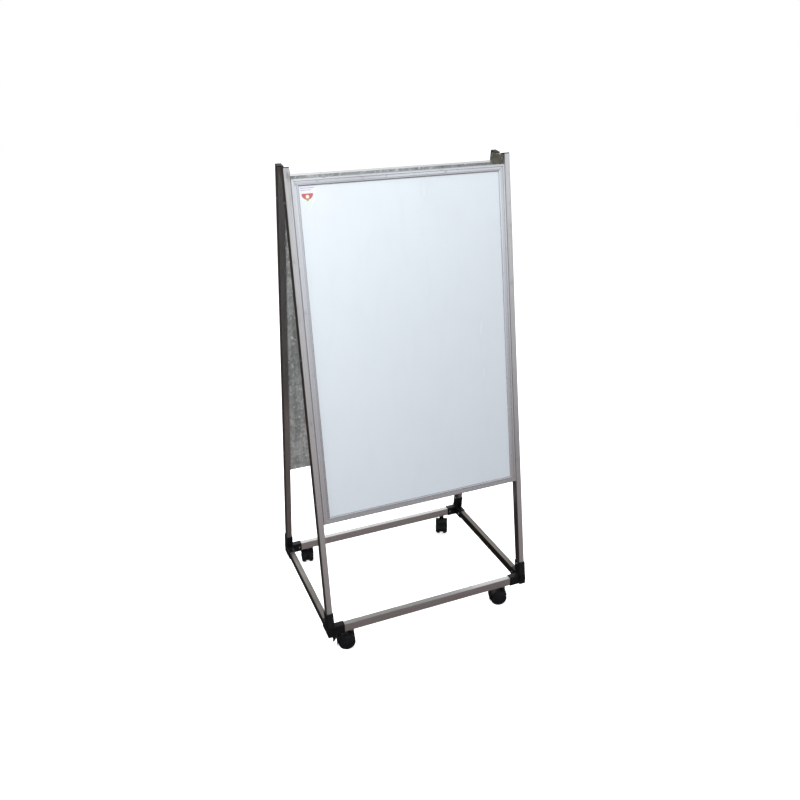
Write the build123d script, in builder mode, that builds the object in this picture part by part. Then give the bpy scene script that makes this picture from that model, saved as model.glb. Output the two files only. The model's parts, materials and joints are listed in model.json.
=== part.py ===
from build123d import *
import os
from math import atan2, cos, radians, sin

# Rolling whiteboard: a double-sided board on a fixed A-frame with four twin-wheel casters.
# Millimetres. X to the right seen from the front, Y to the back, Z up.
# The origin is on the floor, under the middle of the A-frame.

os.makedirs("parts", exist_ok=True)

# Frame
WIDTH = 640.0
BASE_DEPTH = 456.0
TOP_DEPTH = 77.0
RAIL_Z = 74.0
TOP_Z = 1349.0
TUBE_NARROW = 16.0
TUBE_DEEP = 25.0
TUBE_WALL = 1.4
TUBE_CORNER = 1.0
CAP_THICKNESS = 2.5
CAP_PLUG_LENGTH = 8.0
CAP_PLUG_GAP = 0.1
CAP_CHAMFER = 0.6

# Corner connectors
SLEEVE_WALL = 2.0
SLEEVE_CORNER = 1.5
SOCKET_GAP = 0.05
RAIL_ARM_REACH = 49.0
POST_ARM_REACH = 57.0
POST_START = 15.5
RAIL_END_INSET = 17.0
SIDE_RAIL_END_INSET = 22.0

# Boards
BOARD_SIDE_GAP = 0.4
BOARD_BOTTOM = 327.5
BOARD_HEIGHT = 931.0
BOARD_FACE = TUBE_DEEP / 2
PROFILE_WIDTH = 19.0
PROFILE_THICKNESS = 20.0
PROFILE_WALL = 1.4
WEB_WIDTH = 8.0
BEAD_END = 7.0
BEAD_CHAMFER = 1.2
BEAD_FLANK = 0.6
GROOVE_DEPTH = 1.1
LIP_START = 14.0
LIP_FLANK = 0.5
LIP_STEP = 0.3
LIP_CHAMFER_WIDTH = 1.8
LIP_CHAMFER_DEPTH = 1.3
PANEL_FACE = 9.0
PANEL_BACK = -4.8
SHEET_THICKNESS = 0.4
PANEL_GAP = 0.1
MITRE_GAP = 0.04
KEY_ARM = 34.0
KEY_WIDTH = 5.0
KEY_DEPTH = 12.0
LABEL_WIDTH = 46.0
LABEL_HEIGHT = 62.0
LABEL_THICKNESS = 0.15
LABEL_MARGIN = 2.0
LABEL_TOP_DROP = 6.0
LABEL_TAPER = 4.0

# Screws
SCREW_HEAD_R = 3.4
SCREW_HEAD_HEIGHT = 2.0
SCREW_HEAD_TAPER = 28.0
SCREW_SHANK_R = 1.75
SCREW_HOLE_R = 1.8
SLEEVE_SCREW_LENGTH = 9.0
BOARD_SCREW_LENGTH = 24.0
PLATE_SCREW_LENGTH = 6.0
RECESS_LENGTH = 4.0
RECESS_WIDTH = 0.9
RECESS_DEPTH = 1.0

# Bridge plates between the post tops
PLATE_THICKNESS = 2.0
PLATE_CORNER = 3.0
PLATE_EARS_Z = 1319.5
PLATE_BOTTOM_Z = 1305.0
PLATE_TONGUE_HALF = 22.0
PLATE_TOP_Z = 1342.0
PLATE_HALF_DEPTH = 34.0
PLATE_SCREW_Y = 28.0
PLATE_SCREW_Z = 1332.0

# Casters
CASTER_X = 250.0
TRAIL = 14.0
WHEEL_R = 25.0
WHEEL_WIDTH = 13.8
WHEEL_INNER = 5.4
WHEEL_EDGE = 6.5
WHEEL_DOME = 2.0
WHEEL_CHAMFER = 1.0
WHEEL_HUB_R = 9.0
WHEEL_POCKET_FROM = 11.0
WHEEL_POCKET_TO = 17.0
WHEEL_RIM_R = 19.0
WHEEL_POCKET_DEPTH = 3.0
AXLE_R = 3.0
AXLE_HALF = 18.0
AXLE_CHAMFER = 0.4
AXLE_END_GAP = 0.2
RUNNING_GAP = 0.05
WEB_HALF = 5.0
WEB_R = 20.5
HOOD_INNER_R = 26.0
HOOD_OUTER_R = 28.4
HOOD_HALF = 20.4
HOOD_FROM = -12.0
HOOD_TO = 148.0
HOOD_FILLET = 2.0
WEB_SHOULDER = 8.0
JOURNAL_GAP = 0.5
BOSS_R = 7.5
BOSS_TOP = 57.2
JOURNAL_R = 3.5
JOURNAL_BOTTOM = 34.0
COLLAR_FLATS = 13.0
COLLAR_BOTTOM = 57.6
STEM_R = 4.0
STEM_TOP = 80.0
INSERT_FLANGE_R = 7.5
INSERT_FLANGE = 1.2
INSERT_R = 5.4
INSERT_TOP = 76.0

# Brake levers
LEVER_PIN_R = 1.5
LEVER_PIN_AT = 32.5
LEVER_PIN_ANGLE = 30.0
KNUCKLE_R = 3.2
KNUCKLE_HALF = 7.2
EAR_INNER = 7.5
EAR_OUTER = 10.0
PEDAL_LENGTH = 18.0
PEDAL_SLOPE = -55.0
PEDAL_HALF = 9.0
PEDAL_THICKNESS = 3.0
PEDAL_ROOT = 0.3
PEDAL_ARM = 0.5
PEDAL_TIP = 0.4

# Worked out from the sizes above
POST_X = WIDTH / 2 - TUBE_NARROW / 2
RAIL_Y = BASE_DEPTH / 2 - TUBE_NARROW / 2
LEAN = atan2(RAIL_Y - (TOP_DEPTH - TUBE_DEEP) / 2, TOP_Z - RAIL_Z)
POST_TOP = (TOP_Z - RAIL_Z - TUBE_DEEP / 2 * sin(LEAN)) / cos(LEAN)
BOARD_WIDTH = WIDTH - 2 * TUBE_NARROW - 2 * BOARD_SIDE_GAP
SLEEVE_NARROW = TUBE_NARROW + 2 * SLEEVE_WALL
SLEEVE_DEEP = TUBE_DEEP + 2 * SLEEVE_WALL
RAIL_BOTTOM_Z = RAIL_Z - TUBE_DEEP / 2
SIDE_NAMES = {-1: "left", 1: "right"}
FACE_NAMES = {-1: "front", 1: "rear"}
CORNERS = [(side, face) for face in (-1, 1) for side in (-1, 1)]

# The direction in which each caster trails, in degrees from +X, and whether it has a brake.
CASTER_HEADINGS = {(-1, -1): 167.0, (1, -1): 160.0, (-1, 1): 78.0, (1, 1): 244.0}
BRAKED = {(-1, -1), (-1, 1)}
RAIL_SCREW_X = 279.0
SIDE_SCREW_Y = 186.0
POST_SCREW_AT = 50.0
BOARD_SCREWS_AT = (60.0, BOARD_HEIGHT / 2, BOARD_HEIGHT - 60.0)


def keep(piece: BuildPart, node: str) -> None:
    """Label a finished piece and write its STEP file."""
    piece.part.label = node
    export_step(piece.part, f"parts/{node}.step")


def post_plane(side: int, face: int) -> Plane:
    """The plane across a post at rail height: local Z runs up the post."""
    up_the_post = (0, -face * sin(LEAN), cos(LEAN))
    return Plane(origin=(side * POST_X, face * RAIL_Y, RAIL_Z), x_dir=(1, 0, 0), z_dir=up_the_post)


def board_plane(face: int) -> Plane:
    """The plane of a board: local X across, local Y up the slope, local Z outwards."""
    outwards = (0, face * cos(LEAN), sin(LEAN))
    return Plane(origin=(0, face * RAIL_Y, RAIL_Z), x_dir=(-face, 0, 0), z_dir=outwards)


def caster_plane(side: int, face: int) -> Plane:
    """The floor plane under a caster's stem: local X points the way the wheels trail."""
    turn = radians(CASTER_HEADINGS[(side, face)])
    return Plane(origin=(side * CASTER_X, face * RAIL_Y, 0), x_dir=(cos(turn), sin(turn), 0))


def axle_plane(side: int, face: int) -> Plane:
    """The upright plane through a caster's axle: local X trails, local Y is up."""
    base = caster_plane(side, face)
    centre = base.from_local_coords((TRAIL, 0, WHEEL_R))
    return Plane(origin=centre, x_dir=base.x_dir, z_dir=-base.y_dir)


def lever_plane(side: int, face: int) -> Plane:
    """The upright plane through a brake lever's pin."""
    base = axle_plane(side, face)
    turn = radians(LEVER_PIN_ANGLE)
    pin = base.from_local_coords((LEVER_PIN_AT * cos(turn), LEVER_PIN_AT * sin(turn), 0))
    return Plane(origin=pin, x_dir=base.x_dir, z_dir=base.z_dir)


def sleeve_screw_planes(side: int, face: int) -> list[Plane]:
    """Where the three screws of a corner connector sit, with local Z out of the head."""
    rail_seat = (side * RAIL_SCREW_X, face * (RAIL_Y - SLEEVE_NARROW / 2), RAIL_Z)
    side_seat = (side * (POST_X - SLEEVE_NARROW / 2), face * SIDE_SCREW_Y, RAIL_Z)
    post_seat = post_plane(side, face).from_local_coords((-side * SLEEVE_NARROW / 2, 0, POST_SCREW_AT))
    return [
        Plane(origin=rail_seat, x_dir=(1, 0, 0), z_dir=(0, -face, 0)),
        Plane(origin=side_seat, x_dir=(0, 1, 0), z_dir=(-side, 0, 0)),
        Plane(origin=post_seat, x_dir=(0, 1, 0), z_dir=(-side, 0, 0)),
    ]


def board_screw_planes(side: int, face: int) -> list[Plane]:
    """Where the screws through a post into a board sit, on the post's outer side."""
    post = post_plane(side, face)
    seats = [post.from_local_coords((side * TUBE_NARROW / 2, 0, BOARD_BOTTOM + up)) for up in BOARD_SCREWS_AT]
    return [Plane(origin=seat, x_dir=(0, 1, 0), z_dir=(side, 0, 0)) for seat in seats]


def plate_screw_planes(side: int) -> list[Plane]:
    """Where the screws of a bridge plate sit, on the plate's inner side."""
    seat_x = side * (POST_X - TUBE_NARROW / 2 - PLATE_THICKNESS)
    seats = [(seat_x, face * PLATE_SCREW_Y, PLATE_SCREW_Z) for face in (-1, 1)]
    return [Plane(origin=seat, x_dir=(0, 1, 0), z_dir=(-side, 0, 0)) for seat in seats]


def drill(plane: Plane, radius: float, depth: float) -> None:
    """Cut a round hole from a plane backwards, in the part being built."""
    with BuildSketch(plane) as hole:
        Circle(radius)
    extrude(hole.sketch, amount=-depth, mode=Mode.SUBTRACT)


def add_screw(plane: Plane, length: float) -> None:
    """Add a pan-head screw with a cross recess, seated on a plane, to the part being built."""
    with BuildSketch(plane.offset(-length)) as shank:
        Circle(SCREW_SHANK_R)
    extrude(shank.sketch, amount=length)
    with BuildSketch(plane) as head:
        Circle(SCREW_HEAD_R)
    extrude(head.sketch, amount=SCREW_HEAD_HEIGHT, taper=SCREW_HEAD_TAPER)
    with BuildSketch(plane.offset(SCREW_HEAD_HEIGHT - RECESS_DEPTH)) as recess:
        Rectangle(RECESS_LENGTH, RECESS_WIDTH)
        Rectangle(RECESS_WIDTH, RECESS_LENGTH)
    extrude(recess.sketch, amount=RECESS_DEPTH, mode=Mode.SUBTRACT)


def add_tube(plane: Plane, length: float) -> None:
    """Add a hollow rectangular tube that starts at a plane, to the part being built."""
    with BuildSketch(plane) as section:
        RectangleRounded(TUBE_NARROW, TUBE_DEEP, TUBE_CORNER)
        Rectangle(TUBE_NARROW - 2 * TUBE_WALL, TUBE_DEEP - 2 * TUBE_WALL, mode=Mode.SUBTRACT)
    extrude(section.sketch, amount=length)


# ---- posts, with the holes for their connector, board and bridge screws
def make_post(side: int, face: int) -> None:
    """Build one leaning post."""
    with BuildPart() as post:
        add_tube(post_plane(side, face).offset(POST_START), POST_TOP - CAP_THICKNESS - POST_START)
        drill(sleeve_screw_planes(side, face)[2], SCREW_HOLE_R, SLEEVE_SCREW_LENGTH)
        for plane in board_screw_planes(side, face):
            drill(plane, SCREW_HOLE_R, TUBE_NARROW)
        for plane in plate_screw_planes(side):
            drill(plane, SCREW_HOLE_R, PLATE_SCREW_LENGTH + PLATE_THICKNESS)
    keep(post, f"{FACE_NAMES[face]}_{SIDE_NAMES[side]}_post")


# ---- caps that plug the post tops
def make_post_cap(side: int, face: int) -> None:
    """Build one plug-in cap."""
    end = post_plane(side, face).offset(POST_TOP - CAP_THICKNESS)
    inside = 2 * TUBE_WALL + 2 * CAP_PLUG_GAP
    with BuildPart() as cap:
        with BuildSketch(end):
            RectangleRounded(TUBE_NARROW, TUBE_DEEP, TUBE_CORNER)
        extrude(amount=CAP_THICKNESS)
        chamfer(cap.faces().sort_by(Axis.Z)[-1].edges(), length=CAP_CHAMFER)
        with BuildSketch(end):
            Rectangle(TUBE_NARROW - inside, TUBE_DEEP - inside)
            Rectangle(TUBE_NARROW - 2 * inside, TUBE_DEEP - 2 * inside, mode=Mode.SUBTRACT)
        extrude(amount=-CAP_PLUG_LENGTH)
    keep(cap, f"{FACE_NAMES[face]}_{SIDE_NAMES[side]}_post_cap")


# ---- front and rear rails, which carry the casters
def make_cross_rail(face: int) -> None:
    """Build the front or the rear base rail."""
    half = WIDTH / 2 - RAIL_END_INSET
    start = Plane(origin=(-half, face * RAIL_Y, RAIL_Z), x_dir=(0, 1, 0), z_dir=(1, 0, 0))
    with BuildPart() as rail:
        add_tube(start, 2 * half)
        for side in (-1, 1):
            drill(sleeve_screw_planes(side, face)[0], SCREW_HOLE_R, SLEEVE_SCREW_LENGTH)
            under = Plane(origin=(side * CASTER_X, face * RAIL_Y, RAIL_Z), z_dir=(0, 0, 1))
            drill(under, INSERT_R + SOCKET_GAP, TUBE_DEEP)
    keep(rail, f"{FACE_NAMES[face]}_rail")


# ---- side rails
def make_side_rail(side: int) -> None:
    """Build the left or the right base rail."""
    half = BASE_DEPTH / 2 - SIDE_RAIL_END_INSET
    start = Plane(origin=(side * POST_X, -half, RAIL_Z), x_dir=(1, 0, 0), z_dir=(0, 1, 0))
    with BuildPart() as rail:
        add_tube(start, 2 * half)
        for face in (-1, 1):
            drill(sleeve_screw_planes(side, face)[1], SCREW_HOLE_R, SLEEVE_SCREW_LENGTH)
    keep(rail, f"{SIDE_NAMES[side]}_rail")


# ---- corner connectors: three sleeves on one block
def make_corner_connector(side: int, face: int) -> None:
    """Build one three-way connector with its sockets."""
    outer_x = WIDTH / 2 + SLEEVE_WALL
    tip_x = outer_x - RAIL_ARM_REACH - SLEEVE_WALL
    tip_y = BASE_DEPTH / 2 - RAIL_ARM_REACH
    post = post_plane(side, face)
    block_depth = SLEEVE_DEEP / cos(LEAN)
    rail_start = Plane(origin=(side * tip_x, face * RAIL_Y, RAIL_Z), x_dir=(0, 1, 0), z_dir=(side, 0, 0))
    side_start = Plane(origin=(side * POST_X, face * tip_y, RAIL_Z), x_dir=(1, 0, 0), z_dir=(0, face, 0))
    block_base = Plane(origin=(side * POST_X, face * RAIL_Y, RAIL_Z - SLEEVE_DEEP / 2))
    socket = 2 * SOCKET_GAP
    with BuildPart() as connector:
        with BuildSketch(block_base):
            RectangleRounded(SLEEVE_NARROW, block_depth, SLEEVE_CORNER)
        extrude(amount=SLEEVE_DEEP)
        with BuildSketch(rail_start):
            RectangleRounded(SLEEVE_NARROW, SLEEVE_DEEP, SLEEVE_CORNER)
        extrude(amount=outer_x - tip_x - SLEEVE_NARROW / 2)
        with BuildSketch(side_start):
            RectangleRounded(SLEEVE_NARROW, SLEEVE_DEEP, SLEEVE_CORNER)
        extrude(amount=RAIL_Y - tip_y)
        with BuildSketch(post.offset(SLEEVE_WALL)):
            RectangleRounded(SLEEVE_NARROW, SLEEVE_DEEP, SLEEVE_CORNER)
        extrude(amount=POST_ARM_REACH - SLEEVE_WALL)
        with BuildSketch(rail_start):
            Rectangle(TUBE_NARROW + socket, TUBE_DEEP + socket)
        extrude(amount=WIDTH / 2 - RAIL_END_INSET + SOCKET_GAP - tip_x, mode=Mode.SUBTRACT)
        with BuildSketch(side_start):
            Rectangle(TUBE_NARROW + socket, TUBE_DEEP + socket)
        extrude(amount=BASE_DEPTH / 2 - SIDE_RAIL_END_INSET + SOCKET_GAP - tip_y, mode=Mode.SUBTRACT)
        with BuildSketch(post.offset(POST_START - SOCKET_GAP)):
            Rectangle(TUBE_NARROW + socket, TUBE_DEEP + socket)
        extrude(amount=POST_ARM_REACH, mode=Mode.SUBTRACT)
        for plane in sleeve_screw_planes(side, face):
            drill(plane, SCREW_HOLE_R, SLEEVE_WALL + SOCKET_GAP)
    keep(connector, f"{FACE_NAMES[face]}_{SIDE_NAMES[side]}_corner_connector")


# ---- bridge plates across the post tops
def make_bridge_plate(side: int) -> None:
    """Build the plate that ties the tops of a front and a rear post."""
    seat = Plane(origin=(side * (POST_X - TUBE_NARROW / 2), 0, 0), x_dir=(0, 1, 0), z_dir=(side, 0, 0))
    up = seat.y_dir.Z
    with BuildPart() as plate:
        with BuildSketch(seat):
            with Locations((0, up * (PLATE_EARS_Z + PLATE_TOP_Z) / 2)):
                RectangleRounded(2 * PLATE_HALF_DEPTH, PLATE_TOP_Z - PLATE_EARS_Z, PLATE_CORNER)
            with Locations((0, up * (PLATE_BOTTOM_Z + PLATE_TOP_Z) / 2)):
                RectangleRounded(2 * PLATE_TONGUE_HALF, PLATE_TOP_Z - PLATE_BOTTOM_Z, PLATE_CORNER)
        extrude(amount=-PLATE_THICKNESS)
        for plane in plate_screw_planes(side):
            drill(plane, SCREW_HOLE_R, PLATE_THICKNESS)
    keep(plate, f"{SIDE_NAMES[side]}_bridge_plate")


# ---- board frame profiles, mitred at both ends
def make_profile(face: int, edge: str) -> None:
    """Build one aluminium profile of a board's frame: bottom, top, left or right."""
    board = board_plane(face)
    left, right = -BOARD_WIDTH / 2, BOARD_WIDTH / 2
    low, high = BOARD_BOTTOM, BOARD_BOTTOM + BOARD_HEIGHT
    across, up = board.x_dir, board.y_dir
    starts = {
        "bottom": ((left, low), up, across, BOARD_WIDTH),
        "top": ((right, high), -up, -across, BOARD_WIDTH),
        "left": ((left, high), across, -up, BOARD_HEIGHT),
        "right": ((right, low), -across, up, BOARD_HEIGHT),
    }
    corner, inwards, along, length = starts[edge]
    section = Plane(origin=board.from_local_coords((*corner, 0)), x_dir=inwards, z_dir=along)
    start_mitre = section.from_local_coords((0, 0, MITRE_GAP))
    end_mitre = section.from_local_coords((0, 0, length - MITRE_GAP))
    back = BOARD_FACE - PROFILE_THICKNESS
    lip = BOARD_FACE - LIP_STEP
    groove = BOARD_FACE - GROOVE_DEPTH
    with BuildPart() as profile:
        with BuildSketch(section):
            with BuildLine():
                Polyline(
                    (0, back),
                    (0, BOARD_FACE - BEAD_CHAMFER),
                    (BEAD_CHAMFER, BOARD_FACE),
                    (BEAD_END - BEAD_FLANK, BOARD_FACE),
                    (BEAD_END, groove),
                    (LIP_START - LIP_FLANK, groove),
                    (LIP_START, lip),
                    (PROFILE_WIDTH - LIP_CHAMFER_WIDTH, lip),
                    (PROFILE_WIDTH, lip - LIP_CHAMFER_DEPTH),
                    (PROFILE_WIDTH, PANEL_FACE + PANEL_GAP),
                    (WEB_WIDTH, PANEL_FACE + PANEL_GAP),
                    (WEB_WIDTH, PANEL_BACK - PANEL_GAP),
                    (PROFILE_WIDTH, PANEL_BACK - PANEL_GAP),
                    (PROFILE_WIDTH, back),
                    close=True,
                )
            make_face()
            with Locations((WEB_WIDTH / 2, (back + PANEL_FACE + 2 * PROFILE_WALL) / 2)):
                cavity_depth = PANEL_FACE - back
                Rectangle(WEB_WIDTH - 2 * PROFILE_WALL, cavity_depth, mode=Mode.SUBTRACT)
        extrude(amount=length)
        split(bisect_by=Plane(origin=start_mitre, z_dir=along - inwards), keep=Keep.TOP)
        split(bisect_by=Plane(origin=end_mitre, z_dir=-along - inwards), keep=Keep.TOP)
        if edge in ("left", "right"):
            side = -1 if (corner[0] * across.X) < 0 else 1
            for plane in board_screw_planes(side, face):
                drill(plane, SCREW_HOLE_R, BOARD_SCREW_LENGTH)
    keep(profile, f"{FACE_NAMES[face]}_board_{edge}_profile")


# ---- the layers of a board's panel
def make_layer(face: int, node: str, back: float, front: float) -> None:
    """Build one layer of a board's panel, between two distances from the board's plane."""
    inset = 2 * (WEB_WIDTH + PANEL_GAP)
    with BuildPart() as layer:
        with BuildSketch(board_plane(face).offset(back)):
            with Locations((0, BOARD_BOTTOM + BOARD_HEIGHT / 2)):
                Rectangle(BOARD_WIDTH - inset, BOARD_HEIGHT - inset)
        extrude(amount=front - back)
    keep(layer, f"{FACE_NAMES[face]}_board_{node}")


# ---- corner keys that join the profiles inside their hollow webs
def make_corner_keys(face: int) -> None:
    """Build the four corner keys of one board as separate solids."""
    board = board_plane(face)
    inset = WEB_WIDTH / 2
    with BuildPart() as keys:
        for end_x in (-1, 1):
            for end_y in (-1, 1):
                x = end_x * (BOARD_WIDTH / 2 - inset)
                y = BOARD_BOTTOM + BOARD_HEIGHT / 2 + end_y * (BOARD_HEIGHT / 2 - inset)
                with BuildSketch(board.offset(-KEY_DEPTH / 2)):
                    with Locations((x - end_x * (KEY_ARM - KEY_WIDTH) / 2, y)):
                        Rectangle(KEY_ARM, KEY_WIDTH)
                    with Locations((x, y - end_y * (KEY_ARM - KEY_WIDTH) / 2)):
                        Rectangle(KEY_WIDTH, KEY_ARM)
                extrude(amount=KEY_DEPTH)
    keep(keys, f"{FACE_NAMES[face]}_board_corner_keys")


# ---- the paper label on the front board
def make_label() -> None:
    """Build the label in the top left corner of the front writing sheet."""
    left = -BOARD_WIDTH / 2 + PROFILE_WIDTH + LABEL_MARGIN
    high = BOARD_BOTTOM + BOARD_HEIGHT - PROFILE_WIDTH - LABEL_MARGIN
    with BuildPart() as label:
        with BuildSketch(board_plane(-1).offset(PANEL_FACE)):
            with BuildLine():
                Polyline(
                    (left, high),
                    (left + LABEL_WIDTH, high - LABEL_TOP_DROP),
                    (left + LABEL_WIDTH - LABEL_TAPER, high - LABEL_HEIGHT / 2),
                    (left + LABEL_WIDTH / 2, high - LABEL_HEIGHT),
                    (left + LABEL_TAPER / 2, high - LABEL_HEIGHT / 2),
                    close=True,
                )
            make_face()
        extrude(amount=LABEL_THICKNESS)
    keep(label, "front_board_label")


# ---- wheels
def make_wheel(side: int, face: int, hand: int) -> None:
    """Build one wheel of a caster, on the +1 or -1 side of its web."""
    axle = axle_plane(side, face)
    outwards = axle.z_dir * hand
    start = axle.from_local_coords((0, 0, hand * WHEEL_INNER))
    section = Plane(origin=start, x_dir=axle.x_dir, z_dir=outwards.cross(axle.x_dir) * -1)
    edge = WHEEL_WIDTH - WHEEL_EDGE
    bore = AXLE_R + RUNNING_GAP
    bore_end = AXLE_HALF - WHEEL_INNER + AXLE_END_GAP
    with BuildPart() as wheel:
        with BuildSketch(section):
            with BuildLine():
                Polyline(
                    (0, WHEEL_WIDTH + WHEEL_DOME),
                    (0, bore_end),
                    (bore, bore_end),
                    (bore, 0),
                    (WHEEL_HUB_R, 0),
                    (WHEEL_POCKET_FROM, WHEEL_POCKET_DEPTH),
                    (WHEEL_POCKET_TO, WHEEL_POCKET_DEPTH),
                    (WHEEL_RIM_R, 0),
                    (WHEEL_R - WHEEL_CHAMFER, 0),
                    (WHEEL_R, WHEEL_CHAMFER),
                    (WHEEL_R, edge),
                )
                RadiusArc((WHEEL_R, edge), (WHEEL_R - WHEEL_EDGE, WHEEL_WIDTH), -WHEEL_EDGE)
                Polyline((WHEEL_R - WHEEL_EDGE, WHEEL_WIDTH), (0, WHEEL_WIDTH + WHEEL_DOME))
            make_face()
        revolve(axis=Axis(start, outwards))
    keep(wheel, f"{FACE_NAMES[face]}_{SIDE_NAMES[side]}_caster_wheel_{'a' if hand > 0 else 'b'}")


# ---- axles
def make_axle(side: int, face: int) -> None:
    """Build the axle of one caster."""
    with BuildPart() as axle:
        with BuildSketch(axle_plane(side, face).offset(-AXLE_HALF)):
            Circle(AXLE_R)
        extrude(amount=2 * AXLE_HALF)
        chamfer(axle.edges().filter_by(GeomType.CIRCLE), length=AXLE_CHAMFER)
    keep(axle, f"{FACE_NAMES[face]}_{SIDE_NAMES[side]}_caster_axle")


# ---- hoods: web, fender and swivel socket in one moulding
def make_hood(side: int, face: int) -> None:
    """Build the hood of one caster."""
    base = caster_plane(side, face)
    axle = axle_plane(side, face)
    pin = lever_plane(side, face)
    reach = HOOD_OUTER_R * 3
    rear, front = radians(HOOD_FROM), radians(HOOD_TO)
    with BuildPart() as hood:
        with BuildSketch(axle.offset(-HOOD_HALF)):
            Circle(HOOD_OUTER_R)
            with BuildLine():
                Polyline(
                    (0, 0),
                    (reach * cos(front), reach * sin(front)),
                    (-reach, -reach),
                    (reach, -reach),
                    (reach * cos(rear), reach * sin(rear)),
                    close=True,
                )
            make_face(mode=Mode.SUBTRACT)
        extrude(amount=2 * HOOD_HALF)
        fillet(hood.edges().filter_by(GeomType.CIRCLE), radius=HOOD_FILLET)
        with BuildSketch(base.offset(JOURNAL_BOTTOM)):
            Circle(BOSS_R)
        extrude(amount=BOSS_TOP - JOURNAL_BOTTOM)
        if (side, face) in BRAKED:
            for hand in (-1, 1):
                start = EAR_INNER if hand > 0 else -EAR_OUTER
                with BuildSketch(pin.offset(start)):
                    Circle(KNUCKLE_R)
                    with Locations((-KNUCKLE_R, -KNUCKLE_R)):
                        Rectangle(2 * KNUCKLE_R, 2 * KNUCKLE_R)
                extrude(amount=EAR_OUTER - EAR_INNER)
        with BuildSketch(axle.offset(-HOOD_HALF - 1)):
            Circle(HOOD_INNER_R)
        extrude(amount=2 * HOOD_HALF + 2, mode=Mode.SUBTRACT)
        with BuildSketch(axle.offset(-WEB_HALF)):
            Circle(WEB_R)
            with BuildLine():
                Polyline(
                    (0, 0),
                    (-TRAIL - BOSS_R, 0),
                    (-TRAIL - BOSS_R, HOOD_INNER_R - WEB_SHOULDER),
                    (0, HOOD_INNER_R + 1),
                    close=True,
                )
            make_face()
        extrude(amount=2 * WEB_HALF)
        with BuildSketch(axle.offset(-WEB_HALF)):
            Circle(AXLE_R)
        extrude(amount=2 * WEB_HALF, mode=Mode.SUBTRACT)
        with BuildSketch(base.offset(JOURNAL_BOTTOM)):
            Circle(JOURNAL_R + RUNNING_GAP)
        extrude(amount=BOSS_TOP - JOURNAL_BOTTOM, mode=Mode.SUBTRACT)
        if (side, face) in BRAKED:
            with BuildSketch(pin.offset(-EAR_OUTER)):
                Circle(LEVER_PIN_R)
            extrude(amount=2 * EAR_OUTER, mode=Mode.SUBTRACT)
    keep(hood, f"{FACE_NAMES[face]}_{SIDE_NAMES[side]}_caster_hood")


# ---- brake levers and their pins
def make_brake_lever(side: int, face: int) -> None:
    """Build the foot lever of one braked caster and the pin it turns on."""
    pin = lever_plane(side, face)
    slope = radians(PEDAL_SLOPE)
    tip_x, tip_y = PEDAL_LENGTH * cos(slope), PEDAL_LENGTH * sin(slope)
    rise_x, rise_y = -PEDAL_THICKNESS * sin(slope), PEDAL_THICKNESS * cos(slope)
    with BuildPart() as lever:
        with BuildSketch(pin.offset(-KNUCKLE_HALF)):
            Circle(KNUCKLE_R)
        extrude(amount=2 * KNUCKLE_HALF)
        with BuildSketch(pin.offset(-PEDAL_HALF)):
            with BuildLine():
                Polyline(
                    (tip_x * PEDAL_ROOT, tip_y * PEDAL_ROOT),
                    (tip_x, tip_y),
                    (tip_x + PEDAL_TIP * rise_x, tip_y + PEDAL_TIP * rise_y),
                    (tip_x * PEDAL_ROOT + rise_x, tip_y * PEDAL_ROOT + rise_y),
                    close=True,
                )
            make_face()
        extrude(amount=2 * PEDAL_HALF)
        with BuildSketch(pin.offset(-KNUCKLE_HALF)):
            with BuildLine():
                Polyline(
                    (0, 0),
                    (tip_x * PEDAL_ARM, tip_y * PEDAL_ARM),
                    (tip_x * PEDAL_ARM + rise_x, tip_y * PEDAL_ARM + rise_y),
                    (rise_x, rise_y),
                    close=True,
                )
            make_face()
        extrude(amount=2 * KNUCKLE_HALF)
        with BuildSketch(pin.offset(-KNUCKLE_HALF)):
            Circle(LEVER_PIN_R + RUNNING_GAP)
        extrude(amount=2 * KNUCKLE_HALF, mode=Mode.SUBTRACT)
    keep(lever, f"{FACE_NAMES[face]}_{SIDE_NAMES[side]}_brake_lever")
    with BuildPart() as lever_pin:
        with BuildSketch(pin.offset(-EAR_OUTER)):
            Circle(LEVER_PIN_R)
        extrude(amount=2 * EAR_OUTER)
    keep(lever_pin, f"{FACE_NAMES[face]}_{SIDE_NAMES[side]}_brake_lever_pin")


for face in (-1, 1):
    make_cross_rail(face)
    for edge in ("bottom", "top", "left", "right"):
        make_profile(face, edge)
    make_layer(face, "writing_sheet", PANEL_FACE - SHEET_THICKNESS, PANEL_FACE)
    make_layer(face, "core", PANEL_BACK + SHEET_THICKNESS, PANEL_FACE - SHEET_THICKNESS)
    make_layer(face, "backing_sheet", PANEL_BACK, PANEL_BACK + SHEET_THICKNESS)
    make_corner_keys(face)
make_label()

for side in (-1, 1):
    make_side_rail(side)
    make_bridge_plate(side)

for side, face in CORNERS:
    make_post(side, face)
    make_post_cap(side, face)
    make_corner_connector(side, face)
    make_hood(side, face)
    make_axle(side, face)
    make_wheel(side, face, 1)
    make_wheel(side, face, -1)
    if (side, face) in BRAKED:
        make_brake_lever(side, face)

# ---- screws: each kind is one group of separate solids
with BuildPart() as connector_screws:
    for side, face in CORNERS:
        for plane in sleeve_screw_planes(side, face):
            add_screw(plane, SLEEVE_SCREW_LENGTH)
keep(connector_screws, "connector_screws")

with BuildPart() as board_screws:
    for side, face in CORNERS:
        for plane in board_screw_planes(side, face):
            add_screw(plane, BOARD_SCREW_LENGTH)
keep(board_screws, "board_screws")

with BuildPart() as bridge_screws:
    for side in (-1, 1):
        for plane in plate_screw_planes(side):
            add_screw(plane, PLATE_SCREW_LENGTH)
keep(bridge_screws, "bridge_screws")

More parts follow.
